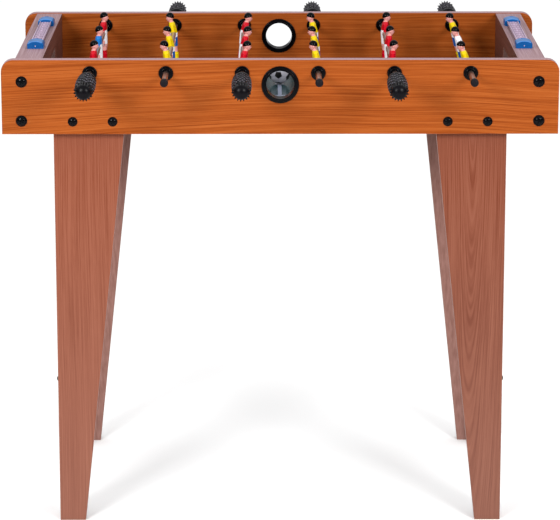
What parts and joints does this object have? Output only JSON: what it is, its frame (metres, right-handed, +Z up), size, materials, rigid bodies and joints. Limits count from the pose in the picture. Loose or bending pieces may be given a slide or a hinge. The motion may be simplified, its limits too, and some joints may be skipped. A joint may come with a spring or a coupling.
{
  "type": "foosball table",
  "caption": "Table football game: an open wood-grain box on tapered corner legs, crossed by push-pull rods that carry moulded players, with ball rings and end scorers.",
  "frame": {"origin": "on the floor, under the middle of the table (bottom centre of the whole box)", "axes": "+X along the table's length, from the left end wall to the right one; -Y out of the front panel, where rods 1, 3 and 5 have their handles; +Z up"},
  "size_m": [0.7, 0.68, 0.6203],
  "materials": {
    "orange_wood_laminate": "satin orange cherry-grain laminate on board",
    "dark_wood_laminate": "satin dark cherry-grain laminate on board",
    "brown_wood_laminate": "satin red-brown vertical-grain laminate on board",
    "printed_field": "board with a printed green pitch and white lines",
    "black_plastic": "semi-gloss moulded",
    "blue_plastic": "semi-gloss moulded",
    "lilac_white_plastic": "satin moulded",
    "ball_white": "white with black patches",
    "steel": "bright drawn steel tube",
    "black_rubber": "matt, moulded with studs",
    "red_shirt": "painted moulded figure",
    "yellow_shirt": "painted moulded figure",
    "blue_shirt": "painted moulded figure",
    "white_shirt": "painted moulded figure"
  },
  "bodies": {
    "table": {"front_panel": "orange_wood_laminate", "rear_panel": "orange_wood_laminate", "end_board_left": "orange_wood_laminate", "end_board_right": "orange_wood_laminate", "goal_board_left": "dark_wood_laminate", "goal_board_right": "dark_wood_laminate", "playfield": "printed_field", "leg_front_left": "brown_wood_laminate", "leg_front_right": "brown_wood_laminate", "leg_rear_left": "brown_wood_laminate", "leg_rear_right": "brown_wood_laminate", "ball_ring_front": "black_plastic", "ball_ring_rear": "black_plastic", "scorer_frame_left": "blue_plastic", "scorer_frame_right": "blue_plastic"},
    "bushings_1": {"bushing_1_front": "black_plastic", "bushing_1_rear": "black_plastic"},
    "rod_1": {"rod_1": "steel", "handle_1": "black_rubber", "man_1_front": "red_shirt", "goalkeeper_1_middle": "blue_shirt", "man_1_rear": "red_shirt"},
    "bushings_2": {"bushing_2_front": "black_plastic", "bushing_2_rear": "black_plastic"},
    "rod_2": {"rod_2": "steel", "handle_2": "black_rubber", "man_2_front": "yellow_shirt", "man_2_middle": "yellow_shirt", "man_2_rear": "yellow_shirt"},
    "bushings_3": {"bushing_3_front": "black_plastic", "bushing_3_rear": "black_plastic"},
    "rod_3": {"rod_3": "steel", "handle_3": "black_rubber", "man_3_front": "red_shirt", "man_3_middle": "red_shirt", "man_3_rear": "red_shirt"},
    "bushings_4": {"bushing_4_front": "black_plastic", "bushing_4_rear": "black_plastic"},
    "rod_4": {"rod_4": "steel", "handle_4": "black_rubber", "man_4_front": "yellow_shirt", "man_4_middle": "yellow_shirt", "man_4_rear": "yellow_shirt"},
    "bushings_5": {"bushing_5_front": "black_plastic", "bushing_5_rear": "black_plastic"},
    "rod_5": {"rod_5": "steel", "handle_5": "black_rubber", "man_5_front": "red_shirt", "man_5_middle": "red_shirt", "man_5_rear": "red_shirt"},
    "bushings_6": {"bushing_6_front": "black_plastic", "bushing_6_rear": "black_plastic"},
    "rod_6": {"rod_6": "steel", "handle_6": "black_rubber", "man_6_front": "yellow_shirt", "goalkeeper_6_middle": "white_shirt", "man_6_rear": "yellow_shirt"},
    "scorer_tiles_left": {"scorer_tiles_left": "lilac_white_plastic"},
    "scorer_tiles_right": {"scorer_tiles_right": "lilac_white_plastic"},
    "ball": {"ball": "ball_white"}
  },
  "joints": [
    {"name": "rod_1_spin", "type": "hinge", "parent": "table", "child": "bushings_1", "pos_m": [-0.23875, 0, 0.5932], "axis": [0, 1, 0], "continuous": true},
    {"name": "rod_1_slide", "type": "slide", "parent": "bushings_1", "child": "rod_1", "axis": [0, 1, 0], "range_m": [-0.048, 0.048]},
    {"name": "rod_2_spin", "type": "hinge", "parent": "table", "child": "bushings_2", "pos_m": [-0.14325, 0, 0.5932], "axis": [0, 1, 0], "continuous": true},
    {"name": "rod_2_slide", "type": "slide", "parent": "bushings_2", "child": "rod_2", "axis": [0, 1, 0], "range_m": [-0.048, 0.048]},
    {"name": "rod_3_spin", "type": "hinge", "parent": "table", "child": "bushings_3", "pos_m": [-0.04775, 0, 0.5932], "axis": [0, 1, 0], "continuous": true},
    {"name": "rod_3_slide", "type": "slide", "parent": "bushings_3", "child": "rod_3", "axis": [0, 1, 0], "range_m": [-0.048, 0.048]},
    {"name": "rod_4_spin", "type": "hinge", "parent": "table", "child": "bushings_4", "pos_m": [0.04775, 0, 0.5932], "axis": [0, 1, 0], "continuous": true},
    {"name": "rod_4_slide", "type": "slide", "parent": "bushings_4", "child": "rod_4", "axis": [0, 1, 0], "range_m": [-0.048, 0.048]},
    {"name": "rod_5_spin", "type": "hinge", "parent": "table", "child": "bushings_5", "pos_m": [0.14325, 0, 0.5932], "axis": [0, 1, 0], "continuous": true},
    {"name": "rod_5_slide", "type": "slide", "parent": "bushings_5", "child": "rod_5", "axis": [0, 1, 0], "range_m": [-0.048, 0.048]},
    {"name": "rod_6_spin", "type": "hinge", "parent": "table", "child": "bushings_6", "pos_m": [0.23875, 0, 0.5932], "axis": [0, 1, 0], "continuous": true},
    {"name": "rod_6_slide", "type": "slide", "parent": "bushings_6", "child": "rod_6", "axis": [0, 1, 0], "range_m": [-0.048, 0.048]},
    {"name": "scorer_left_slide", "type": "slide", "parent": "table", "child": "scorer_tiles_left", "axis": [0, -1, 0], "range_m": [0, 0.006]},
    {"name": "scorer_right_slide", "type": "slide", "parent": "table", "child": "scorer_tiles_right", "axis": [0, -1, 0], "range_m": [0, 0.006]},
    {"name": "ball_lift", "type": "slide", "parent": "table", "child": "ball", "axis": [0, 0, 1], "range_m": [0, 0.12]}
  ]
}
